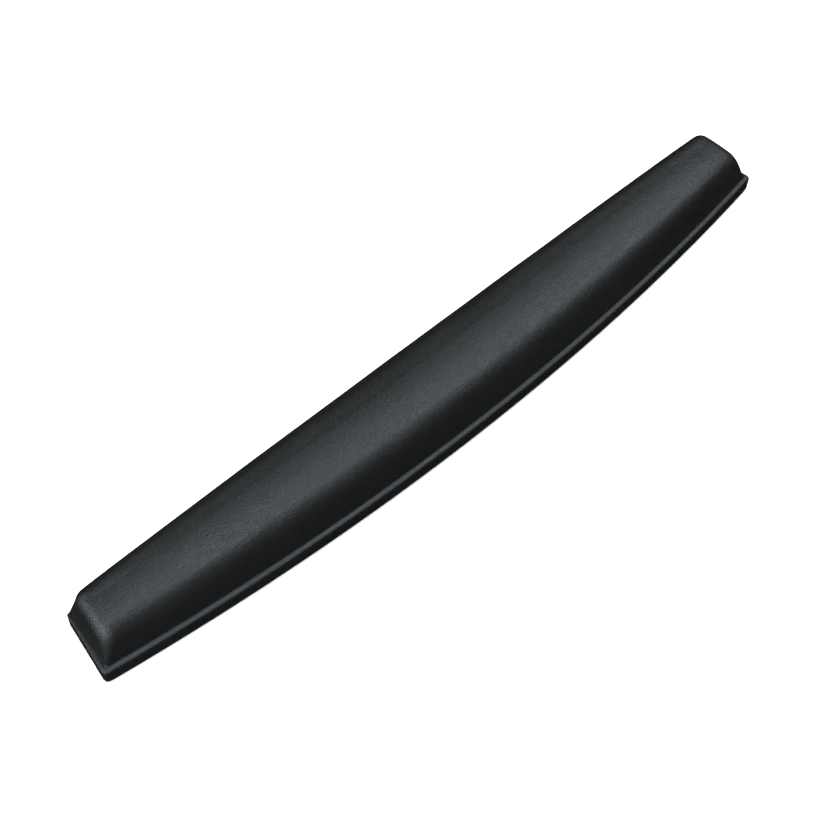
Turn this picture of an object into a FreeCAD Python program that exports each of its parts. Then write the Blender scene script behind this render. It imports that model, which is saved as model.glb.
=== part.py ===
import FreeCAD, Part
import math
import os
import Sketcher
from FreeCAD import Vector

# A padded wrist rest for a keyboard, about as long as the keyboard. A rigid base tray carries a
# foam bed and a sealed gel pad. One leatherette cover is drawn over all of them, follows the
# tray's raised rim and is turned under it. A rubber sheet closes the underside.
#
# Frame: X runs along the rest, Y runs from the user to the keyboard, Z is up. The origin is at
# the middle of the footprint, on the surface that the rest stands on.

SIZES = [
    # plan
    ("overall_length", 470.0, "between the two ends of the rim"),
    ("depth_middle", 58.5, "front to back of the rim, half way along"),
    ("depth_ends", 37.2, "front to back of the rim, at the ends"),
    ("back_bow", 3.8, "rise of the back edge between its corners"),
    ("end_lean", 9.5, "degrees that each end turns in towards the back"),
    ("corner_radius", 3.0, "corners of the rim in plan"),
    # cushion section
    ("cushion_height", 31.0, "surface to the crest of the cushion"),
    ("end_batter", 9.0, "degrees that the end faces slope inwards above the crease"),
    ("slope_radius_middle", 26.0, "front slope above the crease, half way along"),
    ("slope_radius_ends", 40.0, "front slope above the crease, at the ends"),
    ("slope_drop", 2.0, "centre of the front slope below the crease"),
    ("shoulder_radius_middle", 14.0, "round shoulder where the wrists rest, half way along"),
    ("shoulder_radius_ends", 11.5, "round shoulder at the ends"),
    ("crown_radius", 110.0, "gently domed top"),
    ("crest_middle", 4.0, "highest line of the top behind the origin, half way along"),
    ("crest_ends", 18.0, "highest line of the top behind the origin, at the ends"),
    ("back_radius", 8.5, "top edge of the back wall"),
    ("end_radius", 6.5, "edges around the end faces"),
    # rim
    ("rim_height", 11.0, "surface to the top of the rim"),
    ("rim_width", 3.2, "rim's outside to the crease"),
    ("rim_round", 2.5, "outer top edge of the rim"),
    # thicknesses and widths of the layers
    ("base_sheet", 1.2, "rubber sheet"),
    ("base_inset", 1.2, "rubber sheet's edge inside the rim"),
    ("glue_line", 0.2, "sheets of adhesive"),
    ("glue_inset", 1.0, "adhesive's edge inside the piece that it holds"),
    ("skin", 0.8, "leatherette cover"),
    ("film", 0.3, "film around the gel"),
    ("fit_gap", 0.1, "room between one layer and the next"),
    ("hem_width", 9.0, "cover turned under the tray"),
    ("tray_floor", 2.0, "tray's floor above the hem"),
    ("foam_top", 15.0, "top of the foam bed above the surface"),
    # reach of the cutting shapes past the object
    ("reach", 60.0, "cutting shapes past the object"),
]
SIZE = {alias: number for alias, number, note in SIZES}

# How the edges to round are told apart, and what counts as a cut.
LEAST_ROUNDING = 0.5
MOSTLY = 0.9
SAME_LEVEL = 0.01
BASE_BAND = 0.1
LEAST_CUT = 1.0

# Levels and insets are sums of named sizes; a minus sign before a name subtracts it.
SKIN_LOW = ["base_sheet", "glue_line"]
HEM_TOP = SKIN_LOW + ["skin"]
TRAY_LOW = HEM_TOP + ["glue_line"]
FLOOR_TOP = TRAY_LOW + ["tray_floor"]
CORE_LOW = FLOOR_TOP + ["glue_line"]
RIM_TOP = ["rim_height"]
RIM_INSIDE = ["rim_height", "-skin"]
TRAY_TOP = ["rim_height", "-skin", "-fit_gap"]
FOAM_TOP = ["foam_top"]
GEL_LOW = ["foam_top", "film"]
UNDER_SKIN = ["skin", "fit_gap"]
UNDER_FILM = UNDER_SKIN + ["film"]
GEL_INSET = UNDER_FILM + ["fit_gap"]

# The front and back edges are arcs through the corners and the middle.
HALF = "Sizes.overall_length / 2"
FRONT_BOW = "(Sizes.depth_middle - Sizes.depth_ends - Sizes.back_bow)"
FRONT_RADIUS = "((%s)^2 + %s^2) / (2 * %s)" % (HALF, FRONT_BOW, FRONT_BOW)
BACK_RADIUS = "((%s)^2 + Sizes.back_bow^2) / (2 * Sizes.back_bow)" % HALF

half = SIZE["overall_length"] / 2
front_bow = SIZE["depth_middle"] - SIZE["depth_ends"] - SIZE["back_bow"]
front_radius = (half ** 2 + front_bow ** 2) / (2 * front_bow)
back_radius = (half ** 2 + SIZE["back_bow"] ** 2) / (2 * SIZE["back_bow"])
half_depth = SIZE["depth_middle"] / 2
lean = math.radians(SIZE["end_lean"])
end_distance = half * math.cos(lean) - (half_depth - front_bow) * math.sin(lean)
batter = math.radians(SIZE["end_batter"])
END_DISTANCE = "(%s) * cos(Sizes.end_lean) - (Sizes.depth_middle / 2 - %s) * sin(Sizes.end_lean)" % (
    HALF, FRONT_BOW)


def amount(terms):
    """The sum of the named sizes, as a number."""
    return sum(-SIZE[term[1:]] if term.startswith("-") else SIZE[term] for term in terms)


def formula(terms):
    """The sum of the named sizes, as an expression on the sheet's cells."""
    parts = ["- Sizes." + term[1:] if term.startswith("-") else "+ Sizes." + term for term in terms]
    return "0 " + " ".join(parts)


def make_sheet(doc):
    """The driving dimensions, one to a row."""
    sheet = doc.addObject("Spreadsheet::Sheet", "Sizes")
    for row, (alias, number, note) in enumerate(SIZES, start=1):
        sheet.set("A%d" % row, note)
        sheet.set("B%d" % row, str(number))
        sheet.setAlias("B%d" % row, alias)
    doc.recompute()


def add_sketch(body, name, role, level):
    """A sketch on one of the body's origin planes, moved along its normal to the level."""
    plane = [item for item in body.Origin.OriginFeatures if item.Role == role][0]
    sketch = body.newObject("Sketcher::SketchObject", name)
    sketch.AttachmentSupport = [(plane, "")]
    sketch.MapMode = "FlatFace"
    sketch.setExpression(".AttachmentOffset.Base.z", level)
    return sketch


def bind(sketch, label, constraint, expression):
    """Adds a constraint and binds it to the sheet."""
    index = sketch.addConstraint(constraint)
    sketch.renameConstraint(index, label)
    sketch.setExpression("Constraints." + label, expression)


def arc(center, radius, start, stop):
    """A counter-clockwise arc between two points that lie on it."""
    first = math.atan2(start.y - center.y, start.x - center.x)
    last = math.atan2(stop.y - center.y, stop.x - center.x)
    if last < first:
        last += 2 * math.pi
    return Part.ArcOfCircle(Part.Circle(center, Vector(0, 0, 1), radius), first, last)


def end_point(inset, center_y, radius, up):
    """Where the right end's line, moved in by the inset, meets a front or back arc."""
    normal = Vector(math.cos(lean), math.sin(lean), 0)
    along = Vector(-math.sin(lean), math.cos(lean), 0)
    foot = normal * (end_distance - inset)
    offset = foot - Vector(0, center_y, 0)
    middle = -offset.dot(along)
    spread = math.sqrt(middle ** 2 - offset.dot(offset) + radius ** 2)
    return foot + along * (middle + spread if up else middle - spread)


def flip(point):
    """The point's mirror image at the other end."""
    return Vector(-point.x, point.y, point.z)


def plan_outline(body, name, inset, level):
    """The footprint, drawn in by the inset: two arcs and two leaning ends."""
    sketch = add_sketch(body, name, "XY_Plane", formula(level))
    drawn_in = amount(inset)
    front_center = front_radius - half_depth
    back_center = half_depth - back_radius
    front_right = end_point(drawn_in, front_center, front_radius - drawn_in, False)
    back_right = end_point(drawn_in, back_center, back_radius - drawn_in, True)
    front_arc = arc(Vector(0, front_center, 0), front_radius - drawn_in, flip(front_right), front_right)
    back_arc = arc(Vector(0, back_center, 0), back_radius - drawn_in, back_right, flip(back_right))
    sketch.addGeometry(front_arc, False)
    sketch.addGeometry(Part.LineSegment(front_right, back_right), False)
    sketch.addGeometry(back_arc, False)
    sketch.addGeometry(Part.LineSegment(flip(back_right), flip(front_right)), False)
    for edge in range(4):
        sketch.addConstraint(Sketcher.Constraint("Coincident", edge, 2, (edge + 1) % 4, 1))
    for edge in (0, 2):
        sketch.addConstraint(Sketcher.Constraint("PointOnObject", edge, 3, -2))
    inside = "(%s)" % formula(inset)
    bind(sketch, "front_radius", Sketcher.Constraint("Radius", 0, front_radius - drawn_in),
         "%s - %s" % (FRONT_RADIUS, inside))
    bind(sketch, "back_radius", Sketcher.Constraint("Radius", 2, back_radius - drawn_in),
         "%s - %s" % (BACK_RADIUS, inside))
    bind(sketch, "front_center", Sketcher.Constraint("DistanceY", -1, 1, 0, 3, front_center),
         "%s - Sizes.depth_middle / 2" % FRONT_RADIUS)
    bind(sketch, "back_center", Sketcher.Constraint("DistanceY", 2, 3, -1, 1, -back_center),
         "%s - Sizes.depth_middle / 2" % BACK_RADIUS)
    add_end_line(sketch, "right", 1, inset, 1)
    add_end_line(sketch, "left", 3, inset, -1)
    return sketch


def add_end_line(sketch, label, edge, inset, turn):
    """Holds an end's line at its distance from the origin and at its lean."""
    bind(sketch, label + "_distance",
         Sketcher.Constraint("Distance", -1, 1, edge, end_distance - amount(inset)),
         "%s - (%s)" % (END_DISTANCE, formula(inset)))
    bind(sketch, label + "_angle", Sketcher.Constraint("Angle", edge, turn * (math.pi / 2 + lean)),
         "%d * (90 + Sizes.end_lean) * 1 deg" % turn)


def plate_body(doc, label, inset, low, high, rounded=False):
    """A flat layer with the footprint's outline, from one level to another."""
    body = doc.addObject("PartDesign::Body", label)
    body.Label = label
    sketch = plan_outline(body, label + "_outline", inset, low)
    pad = body.newObject("PartDesign::Pad", label + "_pad")
    pad.Profile = sketch
    pad.setExpression("Length", "%s - (%s)" % (formula(high), formula(low)))
    doc.recompute()
    if amount(inset) < SIZE["corner_radius"] - LEAST_ROUNDING:
        corners = [number for number, edge in enumerate(pad.Shape.Edges, start=1)
                   if edge.BoundBox.ZLength > MOSTLY * (amount(high) - amount(low))]
        add_fillet(doc, body, pad, label + "_corners", corners,
                   "Sizes.corner_radius - (%s)" % formula(inset))
    if rounded:
        base = body.Tip
        top = [number for number, edge in enumerate(base.Shape.Edges, start=1)
               if edge.BoundBox.ZMin > amount(high) - SAME_LEVEL]
        add_fillet(doc, body, base, label + "_top_edge", top,
                   "Sizes.rim_round - (%s)" % formula(inset))
    return body


def add_fillet(doc, body, base, name, edges, radius):
    """Rounds the numbered edges of a feature."""
    fillet = body.newObject("PartDesign::Fillet", name)
    fillet.Base = (base, ["Edge%d" % number for number in edges])
    fillet.setExpression("Radius", radius)
    doc.recompute()


def section_sizes(place):
    """One section's sizes: the front and back of the footprint there, and the radii."""
    at_end = place == "ends"
    bow = FRONT_BOW if at_end else "0"
    back = "Sizes.back_bow" if at_end else "0"
    slope = "Sizes.slope_radius_" + place
    center_y = "-Sizes.depth_middle / 2 + %s + Sizes.rim_width + sqrt(%s^2 - Sizes.slope_drop^2)" % (
        bow, slope)
    wall = "Sizes.depth_middle / 2 - %s - Sizes.rim_width" % back
    slope_radius = SIZE["slope_radius_" + place]
    foot = -half_depth + (front_bow if at_end else 0) + SIZE["rim_width"]
    return {
        "slope": slope_radius,
        "shoulder": SIZE["shoulder_radius_" + place],
        "slope_y": foot + math.sqrt(slope_radius ** 2 - SIZE["slope_drop"] ** 2),
        "crest": SIZE["crest_" + place],
        "wall": half_depth - (SIZE["back_bow"] if at_end else 0) - SIZE["rim_width"],
        "slope_y_formula": center_y,
        "wall_formula": wall,
    }


def section_sketch(body, name, place, station, inset):
    """The cushion's section: flat base, back wall, back edge, crown, shoulder and front slope."""
    sketch = add_sketch(body, name, "YZ_Plane", station)
    sizes = section_sizes(place)
    drawn_in = amount(inset)
    base = amount(CORE_LOW)
    slope_center = Vector(sizes["slope_y"], SIZE["rim_height"] - SIZE["slope_drop"], 0)
    crown_center = Vector(sizes["crest"], SIZE["cushion_height"] - SIZE["crown_radius"], 0)
    # the shoulder's circle touches the slope's and the crown's circles from inside
    to_slope = sizes["slope"] - sizes["shoulder"]
    to_crown = SIZE["crown_radius"] - sizes["shoulder"]
    between = crown_center - slope_center
    along = (to_slope ** 2 - to_crown ** 2 + between.Length ** 2) / (2 * between.Length)
    across = math.sqrt(to_slope ** 2 - along ** 2)
    unit = Vector(between).normalize()
    shoulder_center = slope_center + unit * along + Vector(unit.y, -unit.x, 0) * across
    back_y = sizes["wall"] - SIZE["back_radius"]
    rise = math.sqrt((SIZE["crown_radius"] - SIZE["back_radius"]) ** 2 - (back_y - sizes["crest"]) ** 2)
    back_center = Vector(back_y, crown_center.y + rise, 0)

    def touch(center, other, radius):
        return center + (other - center).normalize() * (radius - drawn_in)

    wall_top = back_center + Vector(SIZE["back_radius"] - drawn_in, 0, 0)
    crown_start = touch(crown_center, back_center, SIZE["crown_radius"])
    crown_end = touch(crown_center, shoulder_center, SIZE["crown_radius"])
    slope_top = touch(slope_center, shoulder_center, sizes["slope"])
    drop = base - slope_center.y
    foot = Vector(slope_center.x - math.sqrt((sizes["slope"] - drawn_in) ** 2 - drop ** 2), base, 0)
    heel = Vector(wall_top.x, base, 0)
    sketch.addGeometry(Part.LineSegment(foot, heel), False)
    sketch.addGeometry(Part.LineSegment(heel, wall_top), False)
    sketch.addGeometry(arc(back_center, SIZE["back_radius"] - drawn_in, wall_top, crown_start), False)
    sketch.addGeometry(arc(crown_center, SIZE["crown_radius"] - drawn_in, crown_start, crown_end), False)
    sketch.addGeometry(arc(shoulder_center, sizes["shoulder"] - drawn_in, crown_end, slope_top), False)
    sketch.addGeometry(arc(slope_center, sizes["slope"] - drawn_in, slope_top, foot), False)
    for edge in (1, 2, 3, 4):
        sketch.addConstraint(Sketcher.Constraint("Tangent", edge, 2, edge + 1, 1))
    sketch.addConstraint(Sketcher.Constraint("Coincident", 5, 2, 0, 1))
    sketch.addConstraint(Sketcher.Constraint("Coincident", 0, 2, 1, 1))
    sketch.addConstraint(Sketcher.Constraint("Horizontal", 0))
    sketch.addConstraint(Sketcher.Constraint("Vertical", 1))
    radii = (("back", 2, "back_radius"), ("crown", 3, "crown_radius"),
             ("shoulder", 4, "shoulder_radius_" + place), ("slope", 5, "slope_radius_" + place))
    for label, edge, alias in radii:
        bind(sketch, label, Sketcher.Constraint("Radius", edge, SIZE[alias] - drawn_in),
             "Sizes.%s - (%s)" % (alias, formula(inset)))
    bind(sketch, "base", Sketcher.Constraint("DistanceY", -1, 1, 0, 1, base), formula(CORE_LOW))
    bind(sketch, "wall", Sketcher.Constraint("DistanceX", -1, 1, 1, 1, heel.x),
         "%s - (%s)" % (sizes["wall_formula"], formula(inset)))
    bind(sketch, "crest", Sketcher.Constraint("DistanceX", -1, 1, 3, 3, sizes["crest"]),
         "Sizes.crest_" + place)
    bind(sketch, "crown_height", Sketcher.Constraint("DistanceY", 3, 3, -1, 1, -crown_center.y),
         "Sizes.crown_radius - Sizes.cushion_height")
    bind(sketch, "slope_across", Sketcher.Constraint("DistanceX", -1, 1, 5, 3, slope_center.x),
         sizes["slope_y_formula"])
    bind(sketch, "slope_height", Sketcher.Constraint("DistanceY", -1, 1, 5, 3, slope_center.y),
         "Sizes.rim_height - Sizes.slope_drop")
    return sketch


def end_trim(body, name, inset):
    """Two four-sided areas beyond the ends, at the cushion's base, for faces that lean inwards.

    The cut made from them reaches the crease at the rim's width.
    """
    sketch = add_sketch(body, name, "XY_Plane", formula(CORE_LOW))
    reach = SIZE["reach"]
    outer = half + reach
    batter_run = (SIZE["rim_height"] - amount(CORE_LOW)) * math.tan(batter)
    near = end_distance - amount(inset) + batter_run
    near_formula = "%s - (%s) + (Sizes.rim_height - (%s)) * tan(Sizes.end_batter)" % (
        END_DISTANCE, formula(inset), formula(CORE_LOW))
    for side, label in ((1, "right"), (-1, "left")):
        first = sketch.GeometryCount
        points = []
        for across in (-reach, reach):
            points.append(Vector(side * (near - across * math.sin(lean)) / math.cos(lean), across, 0))
        points.append(Vector(side * outer, reach, 0))
        points.append(Vector(side * outer, -reach, 0))
        for corner in range(4):
            sketch.addGeometry(Part.LineSegment(points[corner], points[(corner + 1) % 4]), False)
        for corner in range(4):
            sketch.addConstraint(
                Sketcher.Constraint("Coincident", first + corner, 2, first + (corner + 1) % 4, 1))
        sketch.addConstraint(Sketcher.Constraint("Horizontal", first + 1))
        sketch.addConstraint(Sketcher.Constraint("Vertical", first + 2))
        sketch.addConstraint(Sketcher.Constraint("Horizontal", first + 3))
        bind(sketch, label + "_back", Sketcher.Constraint("DistanceY", -1, 1, first + 1, 1, reach),
             "Sizes.reach")
        bind(sketch, label + "_front", Sketcher.Constraint("DistanceY", first, 1, -1, 1, reach),
             "Sizes.reach")
        bind(sketch, label + "_outside", Sketcher.Constraint("DistanceX", -1, 1, first + 2, 1, side * outer),
             "%d * (%s + Sizes.reach)" % (side, HALF))
        bind(sketch, label + "_distance", Sketcher.Constraint("Distance", -1, 1, first, near), near_formula)
        bind(sketch, label + "_angle", Sketcher.Constraint("Angle", first, math.pi / 2 + side * lean),
             "(90 + %d * Sizes.end_lean) * 1 deg" % side)
    return sketch


def level_area(body, name, level):
    """A rectangle that covers the whole object, at a level."""
    sketch = add_sketch(body, name, "XY_Plane", formula(level))
    wide = half + SIZE["reach"]
    deep = SIZE["reach"]
    corners = [Vector(-wide, -deep, 0), Vector(wide, -deep, 0), Vector(wide, deep, 0), Vector(-wide, deep, 0)]
    for corner in range(4):
        sketch.addGeometry(Part.LineSegment(corners[corner], corners[(corner + 1) % 4]), False)
    for corner in range(4):
        sketch.addConstraint(Sketcher.Constraint("Coincident", corner, 2, (corner + 1) % 4, 1))
    for edge in (0, 2):
        sketch.addConstraint(Sketcher.Constraint("Horizontal", edge))
    for edge in (1, 3):
        sketch.addConstraint(Sketcher.Constraint("Vertical", edge))
    sketch.addConstraint(Sketcher.Constraint("Symmetric", 0, 1, 1, 2, -1, 1))
    bind(sketch, "wide", Sketcher.Constraint("DistanceX", 0, 1, 0, 2, 2 * wide),
         "2 * (%s + Sizes.reach)" % HALF)
    bind(sketch, "deep", Sketcher.Constraint("DistanceY", 1, 1, 1, 2, 2 * deep), "2 * Sizes.reach")
    return sketch


def cut_away(doc, body, sketch, name, upwards=False, taper="0"):
    """Cuts everything under or over a sketch's area, and makes sure that something went."""
    before = body.Tip.Shape.Volume
    pocket = body.newObject("PartDesign::Pocket", name)
    pocket.Profile = sketch
    pocket.setExpression("Length", "Sizes.reach")
    pocket.setExpression("TaperAngle", taper)
    pocket.Reversed = upwards
    doc.recompute()
    if pocket.Shape.Volume > before - LEAST_CUT:
        raise RuntimeError(name + " cut nothing")


def cushion_body(doc, label, inset, low=None, high=None):
    """The cushion's form drawn in by the inset: lofted, trimmed and rounded at both ends."""
    body = doc.addObject("PartDesign::Body", label)
    body.Label = label
    left = section_sketch(body, label + "_left", "ends", "-" + HALF, inset)
    middle = section_sketch(body, label + "_middle", "middle", "0", inset)
    right = section_sketch(body, label + "_right", "ends", HALF, inset)
    loft = body.newObject("PartDesign::AdditiveLoft", label + "_loft")
    loft.Profile = left
    loft.Sections = [middle, right]
    doc.recompute()
    trim = end_trim(body, label + "_ends", ["rim_width"] + inset)
    cut_away(doc, body, trim, label + "_trim", upwards=True, taper="Sizes.end_batter")
    base = body.Tip
    add_fillet(doc, body, base, label + "_end_edges", end_edges(base.Shape),
               "Sizes.end_radius - (%s)" % formula(inset))
    if low:
        cut_away(doc, body, level_area(body, label + "_low", low), label + "_under")
    if high:
        cut_away(doc, body, level_area(body, label + "_high", high), label + "_over", upwards=True)
    return body


def end_edges(shape):
    """The edges around both end faces, without the ones along the base."""
    found = []
    for face in shape.Faces:
        u_low, u_high, v_low, v_high = face.ParameterRange
        if abs(face.normalAt((u_low + u_high) / 2, (v_low + v_high) / 2).x) > MOSTLY:
            found += [edge for edge in face.Edges
                      if edge.BoundBox.ZMax > amount(CORE_LOW) + BASE_BAND]
    return [number for number, edge in enumerate(shape.Edges, start=1)
            if any(edge.isSame(other) for other in found)]


def joined(doc, label, pieces):
    """One form made of several."""
    fuse = doc.addObject("Part::MultiFuse", label)
    fuse.Label = label
    fuse.Shapes = pieces
    return fuse


def hollowed(doc, label, form, hollow):
    """A form with another one cut out of it."""
    cut = doc.addObject("Part::Cut", label)
    cut.Label = label
    cut.Base = form
    cut.Tool = hollow
    return cut


def make_nonskid_base(doc):
    """Rubber sheet that the rest stands on."""
    return plate_body(doc, "nonskid_base", ["base_inset"], [], ["base_sheet"])


def make_base_adhesive(doc):
    """Sheet of adhesive between the rubber and the tray with its hem."""
    return plate_body(doc, "base_adhesive", ["base_inset", "glue_inset"], ["base_sheet"], SKIN_LOW)


def make_cover_skin(doc):
    """Leatherette drawn over the rim and the cushion, and turned under the tray as a hem."""
    outside = joined(doc, "cover_outside", [
        plate_body(doc, "cover_rim", [], SKIN_LOW, RIM_TOP, rounded=True),
        cushion_body(doc, "cover_dome", []),
    ])
    inside = joined(doc, "cover_inside", [
        plate_body(doc, "cover_rim_inside", ["skin"], HEM_TOP, RIM_INSIDE, rounded=True),
        cushion_body(doc, "cover_dome_inside", ["skin"]),
        plate_body(doc, "hem_opening", ["hem_width"], ["base_sheet"], TRAY_LOW),
    ])
    return hollowed(doc, "cover_skin", outside, inside)


def make_hem_adhesive(doc):
    """Ring of adhesive between the hem and the tray."""
    ring = plate_body(doc, "hem_ring", UNDER_SKIN + ["glue_inset"], HEM_TOP, TRAY_LOW)
    middle = plate_body(doc, "hem_ring_opening", ["hem_width", "-fit_gap"], SKIN_LOW, FLOOR_TOP)
    return hollowed(doc, "hem_adhesive", ring, middle)


def make_base_tray(doc):
    """Rigid tray: a floor that drops between the hem's edges, and a raised rim around it."""
    body = joined(doc, "tray_form", [
        plate_body(doc, "tray_rim", UNDER_SKIN, TRAY_LOW, TRAY_TOP, rounded=True),
        plate_body(doc, "tray_floor_pad", ["hem_width", "fit_gap"], SKIN_LOW, FLOOR_TOP),
    ])
    well = plate_body(doc, "tray_well", ["rim_width"], FLOOR_TOP, RIM_TOP)
    return hollowed(doc, "base_tray", body, well)


def make_foam_adhesive(doc):
    """Sheet of adhesive between the tray's floor and the foam."""
    return plate_body(doc, "foam_adhesive", ["rim_width"] + UNDER_SKIN + ["glue_inset"], FLOOR_TOP, CORE_LOW)


def make_foam_bed(doc):
    """Foam that fills the tray and carries the gel."""
    return cushion_body(doc, "foam_bed", UNDER_SKIN, high=FOAM_TOP)


def make_gel_film_bottom(doc):
    """Flat film under the gel."""
    return cushion_body(doc, "gel_film_bottom", UNDER_SKIN, low=FOAM_TOP, high=GEL_LOW)


def make_gel_film_top(doc):
    """Formed film over the gel."""
    outside = cushion_body(doc, "film_outside", UNDER_SKIN, low=GEL_LOW)
    inside = cushion_body(doc, "film_inside", UNDER_FILM)
    return hollowed(doc, "gel_film_top", outside, inside)


def make_gel_pad(doc):
    """Gel cast in the space between the two films."""
    return cushion_body(doc, "gel_pad", GEL_INSET, low=GEL_LOW)


def check_document(doc):
    """Stops if any object of the document failed."""
    for item in doc.Objects:
        if "Invalid" in item.State or "Error" in item.State:
            raise RuntimeError("%s failed: %s" % (item.Label, item.State))


def main():
    doc = FreeCAD.newDocument("WristRest")
    make_sheet(doc)
    nodes = [
        make_nonskid_base(doc),
        make_base_adhesive(doc),
        make_cover_skin(doc),
        make_hem_adhesive(doc),
        make_base_tray(doc),
        make_foam_adhesive(doc),
        make_foam_bed(doc),
        make_gel_film_bottom(doc),
        make_gel_film_top(doc),
        make_gel_pad(doc),
    ]
    doc.recompute()
    check_document(doc)
    for node in nodes:
        shape = node.Shape
        if shape.isNull() or not shape.isValid() or len(shape.Solids) != 1:
            raise RuntimeError("%s isn't one valid solid" % node.Label)
    os.makedirs("parts", exist_ok=True)
    for node in nodes:
        node.Shape.exportStep("parts/%s.step" % node.Label)
        box = node.Shape.optimalBoundingBox(False)
        print("%-16s %8.1f x %5.1f, z %5.2f to %5.2f, %9.0f mm3" % (
            node.Label, box.XLength, box.YLength, box.ZMin, box.ZMax, node.Shape.Volume))


main()
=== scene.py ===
"""A gel wrist rest: a leatherette cushion with a moulded rim, on a non-skid sheet.

It is built around the packed frame and replaces its cover, gel, upper film and sheet.
"""

import math

import bmesh
import bpy
import numpy as np
from bpy.props import FloatProperty, FloatVectorProperty, IntProperty, PointerProperty
from mathutils import Matrix, Vector, noise


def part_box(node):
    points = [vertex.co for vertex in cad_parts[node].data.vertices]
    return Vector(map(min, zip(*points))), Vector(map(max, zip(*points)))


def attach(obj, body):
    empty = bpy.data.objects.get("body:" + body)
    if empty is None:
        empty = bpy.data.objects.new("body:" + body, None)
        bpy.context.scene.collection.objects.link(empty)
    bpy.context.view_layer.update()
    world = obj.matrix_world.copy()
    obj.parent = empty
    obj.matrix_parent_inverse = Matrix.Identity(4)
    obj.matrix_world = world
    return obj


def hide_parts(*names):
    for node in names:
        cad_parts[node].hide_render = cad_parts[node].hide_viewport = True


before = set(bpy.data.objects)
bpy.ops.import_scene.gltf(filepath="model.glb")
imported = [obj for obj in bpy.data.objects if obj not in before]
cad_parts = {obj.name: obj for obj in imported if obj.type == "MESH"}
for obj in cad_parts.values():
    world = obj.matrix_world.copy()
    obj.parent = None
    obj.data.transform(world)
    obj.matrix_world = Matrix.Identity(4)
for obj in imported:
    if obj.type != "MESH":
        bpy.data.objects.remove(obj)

bl_info = {
    "name": "Wrist Rest",
    "version": (1, 0, 0),
    "blender": (4, 5, 0),
    "location": "View3D > Sidebar > Wrist Rest",
    "description": "Builds a leatherette gel wrist rest around its packed frame",
    "category": "Object",
}

COVER_LOW, COVER_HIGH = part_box("cover_skin")
SHEET_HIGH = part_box("nonskid_base")[1]
SAME_PLACE = 1e-6       # points nearer to each other than this count as one

# The layers inside the cover.
FIT_GAP = 0.0001        # clearance from one layer to the next
FILM = 0.0003           # thickness of the gel's film
SLACK = 0.25            # share of the swell by which the cover starts drawn in

# The ring mesh of the cover and the gel.
LAST_CLIMB = math.radians(62.0)     # highest ring, as an angle above the level
FULL_DRAW = math.radians(20.0)      # angle above which the cover is fully drawn in
BEAD_FALL = math.radians(20.0)      # slope where the rim's edge runs into its bead

# The cover's simulation.
HELD_RISE = 0.0004      # height above the crease that is held fast
HOLD_FADE = 0.004       # height over which the hold fades above that
HELD_STRIP = 0.0003     # strip behind the crease that is held fast too
FRAMES = 20
EVENING_PASSES = 70
CLOTH = {
    "quality": 6,
    "mass": 0.25,
    "tension_stiffness": 25.0,
    "compression_stiffness": 25.0,
    "shear_stiffness": 12.0,
    "bending_stiffness": 3.0,
    "use_pressure": True,
    "uniform_pressure_force": 4.0,
}

# The slow unevenness of the filled cover.
UNEVEN_RISE = 0.008     # height above the rim where it is at its full amount
UNEVEN_BROAD, UNEVEN_CLOSE = 28.0, 62.0     # how often it changes, per metre
UNEVEN_SINK = 0.4       # how far it is moved inwards, in amounts

# The studs under the non-skid sheet.
SHEET_SOFT = 0.00025    # softening of the sheet's edges
WHOLE_CELL = 0.98       # a cell with less than this share of its area gets no stud
STUD_GAP = 0.28         # from a cell's edge to its stud, in pitches
STUD_TAPER = 0.14       # how far a stud narrows to its tip, in pitches
CUT_SLIP = 1e-7         # points nearer to a cut than this lie on it

# Noise keeps mostly between these values.
NOISE_LOW, NOISE_HIGH = 0.3, 0.7

SENSOR_WIDTH = 36.0     # the camera's sensor, in millimetres


def length(name, default, description):
    """A size in metres."""
    return FloatProperty(name=name, default=default, description=description,
                         subtype="DISTANCE", unit="LENGTH", min=0.0, precision=5)


def angle(name, degrees, description):
    """An angle, given in degrees and kept in radians."""
    return FloatProperty(name=name, default=math.radians(degrees), description=description,
                         subtype="ANGLE", unit="ROTATION")


def share(name, default, description, highest=1.0):
    """A number with no unit, from nothing to the highest."""
    return FloatProperty(name=name, default=default, description=description, min=0.0, max=highest,
                         precision=4)


def whole(name, default, description, least=1):
    """A whole number."""
    return IntProperty(name=name, default=default, description=description, min=least)


def spot(name, default, description):
    """A place in metres."""
    return FloatVectorProperty(name=name, default=default, description=description, size=3,
                               subtype="TRANSLATION", unit="LENGTH")


def sides(name, default, description):
    """Two sides of a rectangle in metres."""
    return FloatVectorProperty(name=name, default=default, description=description, size=2,
                               unit="LENGTH", min=0.0)


def colour(name, default, description):
    """A colour as the shader sees it."""
    return FloatVectorProperty(name=name, default=default, description=description, size=3,
                               subtype="COLOR", min=0.0, max=1.0)


# ---------------------------------------------------------------- sizes and colours

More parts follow.
